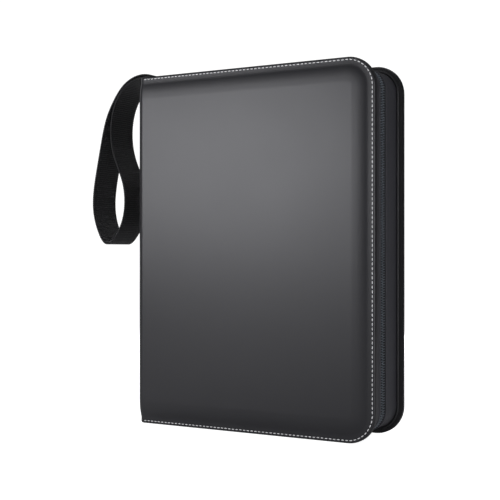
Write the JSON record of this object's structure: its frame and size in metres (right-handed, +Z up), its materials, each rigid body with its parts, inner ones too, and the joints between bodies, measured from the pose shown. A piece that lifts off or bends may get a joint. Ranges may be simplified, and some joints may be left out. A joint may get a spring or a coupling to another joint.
{
  "type": "trading card binder",
  "caption": "Zip-around padded binder for trading cards, with a ring spine, nine-pocket leaves and a webbing carrying strap.",
  "frame": {"origin": "middle of the spine foot: mid-thickness of the spine, mid-depth of the binder, on the floor", "axes": "+X from the spine to the fore-edge, +Y from the front cover to the back cover, +Z up"},
  "size_m": [0.3375, 0.072, 0.3615],
  "materials": {
    "cover_leather": "smooth satin synthetic leather",
    "gusset_leather": "fine grained synthetic leather",
    "piping": "satin synthetic leather",
    "foam": "soft foam sheet",
    "greyboard": "plain grey board",
    "lining_cloth": "matt woven lining",
    "webbing": "ribbed webbing",
    "zip_tape": "woven tape",
    "zip_coil": "satin nylon coil",
    "slider_metal": "dark plated metal",
    "pull_leather": "dark olive brown synthetic leather",
    "ring_steel": "bright nickel plate",
    "ring_chrome": "bright nickel plate",
    "leaf_film": "side-loading black pocket film with clear pockets"
  },
  "bodies": {
    "spine": {"spine_skin": "cover_leather", "spine_padding": "foam", "spine_board": "greyboard", "spine_lining": "lining_cloth", "lower_zip_end_tab": "lining_cloth", "upper_zip_end_tab": "lining_cloth", "strap_root": "webbing", "ring_housing": "ring_steel", "housing_rivets": "ring_steel"},
    "front_cover": {"front_cover_skin": "cover_leather", "front_cover_padding": "foam", "front_cover_board": "greyboard", "front_cover_lining": "lining_cloth", "front_gusset_wall": "gusset_leather", "front_gusset_bead": "piping", "front_zip_tape": "zip_tape", "front_zip_teeth": "zip_coil"},
    "back_cover": {"back_cover_skin": "cover_leather", "back_cover_padding": "foam", "back_cover_board": "greyboard", "back_cover_lining": "lining_cloth", "back_gusset_wall": "gusset_leather", "back_gusset_bead": "piping", "back_zip_tape": "zip_tape", "back_zip_teeth": "zip_coil"},
    "strap": {"strap_loop": "webbing"},
    "zip_slider": {"zip_slider": "slider_metal"},
    "zip_pull": {"pull_link": "slider_metal", "pull_tab": "pull_leather"},
    "front_rings": {"front_blade": "ring_steel", "front_half_rings": "ring_chrome"},
    "back_rings": {"back_blade": "ring_steel", "back_half_rings": "ring_chrome"},
    "upper_trigger": {"upper_trigger": "ring_steel"},
    "lower_trigger": {"lower_trigger": "ring_steel"},
    "front_leaf_01": {"front_leaf_01": "leaf_film"},
    "front_leaf_02": {"front_leaf_02": "leaf_film"},
    "front_leaf_03": {"front_leaf_03": "leaf_film"},
    "front_leaf_04": {"front_leaf_04": "leaf_film"},
    "front_leaf_05": {"front_leaf_05": "leaf_film"},
    "front_leaf_06": {"front_leaf_06": "leaf_film"},
    "front_leaf_07": {"front_leaf_07": "leaf_film"},
    "front_leaf_08": {"front_leaf_08": "leaf_film"},
    "front_leaf_09": {"front_leaf_09": "leaf_film"},
    "front_leaf_10": {"front_leaf_10": "leaf_film"},
    "back_leaf_01": {"back_leaf_01": "leaf_film"},
    "back_leaf_02": {"back_leaf_02": "leaf_film"},
    "back_leaf_03": {"back_leaf_03": "leaf_film"},
    "back_leaf_04": {"back_leaf_04": "leaf_film"},
    "back_leaf_05": {"back_leaf_05": "leaf_film"},
    "back_leaf_06": {"back_leaf_06": "leaf_film"},
    "back_leaf_07": {"back_leaf_07": "leaf_film"},
    "back_leaf_08": {"back_leaf_08": "leaf_film"},
    "back_leaf_09": {"back_leaf_09": "leaf_film"},
    "back_leaf_10": {"back_leaf_10": "leaf_film"}
  },
  "joints": [
    {"name": "front_cover_open", "type": "hinge", "parent": "spine", "child": "front_cover", "pos_m": [-0.00171, -0.03471, 0], "axis": [0, 0, -1], "range_deg": [0, 90]},
    {"name": "back_cover_open", "type": "hinge", "parent": "spine", "child": "back_cover", "pos_m": [-0.00171, 0.03471, 0], "axis": [0, 0, 1], "range_deg": [0, 90]},
    {"name": "strap_swing", "type": "hinge", "parent": "spine", "child": "strap", "pos_m": [0, 0, 0.3569], "axis": [0, 1, 0], "range_deg": [0, 100]},
    {"name": "zip_slide", "type": "slide", "parent": "back_cover", "child": "zip_slider", "axis": [1, 0, 0], "range_m": [0, 0.202]},
    {"name": "zip_pull_flip", "type": "hinge", "parent": "zip_slider", "child": "zip_pull", "pos_m": [0.0215, -0.0035, 0.00395], "axis": [0, 1, 0], "range_deg": [0, 120]},
    {"name": "front_rings_open", "type": "hinge", "parent": "spine", "child": "front_rings", "pos_m": [0.0047, -0.00907, 0], "axis": [0, 0, 1], "range_deg": [-13, 0]},
    {"name": "back_rings_open", "type": "hinge", "parent": "spine", "child": "back_rings", "pos_m": [0.0047, 0.00907, 0], "axis": [0, 0, -1], "range_deg": [-13, 0]},
    {"name": "upper_trigger_press", "type": "hinge", "parent": "spine", "child": "upper_trigger", "pos_m": [0.00715, 0, 0.316], "axis": [0, 1, 0], "range_deg": [-13, 0]},
    {"name": "lower_trigger_press", "type": "hinge", "parent": "spine", "child": "lower_trigger", "pos_m": [0.00715, 0, 0.039], "axis": [0, -1, 0], "range_deg": [-13, 0]},
    {"name": "front_leaf_01_turn", "type": "hinge", "parent": "spine", "child": "front_leaf_01", "pos_m": [0.022, 0, 0], "axis": [0, 0, -1], "range_deg": [0, 92]},
    {"name": "front_leaf_02_turn", "type": "hinge", "parent": "spine", "child": "front_leaf_02", "pos_m": [0.022, 0, 0], "axis": [0, 0, -1], "range_deg": [0, 92]},
    {"name": "front_leaf_03_turn", "type": "hinge", "parent": "spine", "child": "front_leaf_03", "pos_m": [0.022, 0, 0], "axis": [0, 0, -1], "range_deg": [0, 92]},
    {"name": "front_leaf_04_turn", "type": "hinge", "parent": "spine", "child": "front_leaf_04", "pos_m": [0.022, 0, 0], "axis": [0, 0, -1], "range_deg": [0, 92]},
    {"name": "front_leaf_05_turn", "type": "hinge", "parent": "spine", "child": "front_leaf_05", "pos_m": [0.022, 0, 0], "axis": [0, 0, -1], "range_deg": [0, 92]},
    {"name": "front_leaf_06_turn", "type": "hinge", "parent": "spine", "child": "front_leaf_06", "pos_m": [0.022, 0, 0], "axis": [0, 0, -1], "range_deg": [0, 92]},
    {"name": "front_leaf_07_turn", "type": "hinge", "parent": "spine", "child": "front_leaf_07", "pos_m": [0.022, 0, 0], "axis": [0, 0, -1], "range_deg": [0, 92]},
    {"name": "front_leaf_08_turn", "type": "hinge", "parent": "spine", "child": "front_leaf_08", "pos_m": [0.022, 0, 0], "axis": [0, 0, -1], "range_deg": [0, 92]},
    {"name": "front_leaf_09_turn", "type": "hinge", "parent": "spine", "child": "front_leaf_09", "pos_m": [0.022, 0, 0], "axis": [0, 0, -1], "range_deg": [0, 92]},
    {"name": "front_leaf_10_turn", "type": "hinge", "parent": "spine", "child": "front_leaf_10", "pos_m": [0.022, 0, 0], "axis": [0, 0, -1], "range_deg": [0, 92]},
    {"name": "back_leaf_01_turn", "type": "hinge", "parent": "spine", "child": "back_leaf_01", "pos_m": [0.022, 0, 0], "axis": [0, 0, 1], "range_deg": [0, 92]},
    {"name": "back_leaf_02_turn", "type": "hinge", "parent": "spine", "child": "back_leaf_02", "pos_m": [0.022, 0, 0], "axis": [0, 0, 1], "range_deg": [0, 92]},
    {"name": "back_leaf_03_turn", "type": "hinge", "parent": "spine", "child": "back_leaf_03", "pos_m": [0.022, 0, 0], "axis": [0, 0, 1], "range_deg": [0, 92]},
    {"name": "back_leaf_04_turn", "type": "hinge", "parent": "spine", "child": "back_leaf_04", "pos_m": [0.022, 0, 0], "axis": [0, 0, 1], "range_deg": [0, 92]},
    {"name": "back_leaf_05_turn", "type": "hinge", "parent": "spine", "child": "back_leaf_05", "pos_m": [0.022, 0, 0], "axis": [0, 0, 1], "range_deg": [0, 92]},
    {"name": "back_leaf_06_turn", "type": "hinge", "parent": "spine", "child": "back_leaf_06", "pos_m": [0.022, 0, 0], "axis": [0, 0, 1], "range_deg": [0, 92]},
    {"name": "back_leaf_07_turn", "type": "hinge", "parent": "spine", "child": "back_leaf_07", "pos_m": [0.022, 0, 0], "axis": [0, 0, 1], "range_deg": [0, 92]},
    {"name": "back_leaf_08_turn", "type": "hinge", "parent": "spine", "child": "back_leaf_08", "pos_m": [0.022, 0, 0], "axis": [0, 0, 1], "range_deg": [0, 92]},
    {"name": "back_leaf_09_turn", "type": "hinge", "parent": "spine", "child": "back_leaf_09", "pos_m": [0.022, 0, 0], "axis": [0, 0, 1], "range_deg": [0, 92]},
    {"name": "back_leaf_10_turn", "type": "hinge", "parent": "spine", "child": "back_leaf_10", "pos_m": [0.022, 0, 0], "axis": [0, 0, 1], "range_deg": [0, 92]}
  ],
  "couplings": [
    {"joint": "back_rings_open", "follows": "front_rings_open", "ratio": 1},
    {"joint": "upper_trigger_press", "follows": "front_rings_open", "ratio": 1},
    {"joint": "lower_trigger_press", "follows": "front_rings_open", "ratio": 1},
    {"joint": "front_leaf_01_turn", "follows": "front_cover_open", "ratio": 0.955},
    {"joint": "front_leaf_02_turn", "follows": "front_cover_open", "ratio": 0.9622},
    {"joint": "front_leaf_03_turn", "follows": "front_cover_open", "ratio": 0.9694},
    {"joint": "front_leaf_04_turn", "follows": "front_cover_open", "ratio": 0.9767},
    {"joint": "front_leaf_05_turn", "follows": "front_cover_open", "ratio": 0.9839},
    {"joint": "front_leaf_06_turn", "follows": "front_cover_open", "ratio": 0.9911},
    {"joint": "front_leaf_07_turn", "follows": "front_cover_open", "ratio": 0.9983},
    {"joint": "front_leaf_08_turn", "follows": "front_cover_open", "ratio": 1.0056},
    {"joint": "front_leaf_09_turn", "follows": "front_cover_open", "ratio": 1.0128},
    {"joint": "front_leaf_10_turn", "follows": "front_cover_open", "ratio": 1.02},
    {"joint": "back_leaf_01_turn", "follows": "back_cover_open", "ratio": 0.955},
    {"joint": "back_leaf_02_turn", "follows": "back_cover_open", "ratio": 0.9622},
    {"joint": "back_leaf_03_turn", "follows": "back_cover_open", "ratio": 0.9694},
    {"joint": "back_leaf_04_turn", "follows": "back_cover_open", "ratio": 0.9767},
    {"joint": "back_leaf_05_turn", "follows": "back_cover_open", "ratio": 0.9839},
    {"joint": "back_leaf_06_turn", "follows": "back_cover_open", "ratio": 0.9911},
    {"joint": "back_leaf_07_turn", "follows": "back_cover_open", "ratio": 0.9983},
    {"joint": "back_leaf_08_turn", "follows": "back_cover_open", "ratio": 1.0056},
    {"joint": "back_leaf_09_turn", "follows": "back_cover_open", "ratio": 1.0128},
    {"joint": "back_leaf_10_turn", "follows": "back_cover_open", "ratio": 1.02}
  ]
}
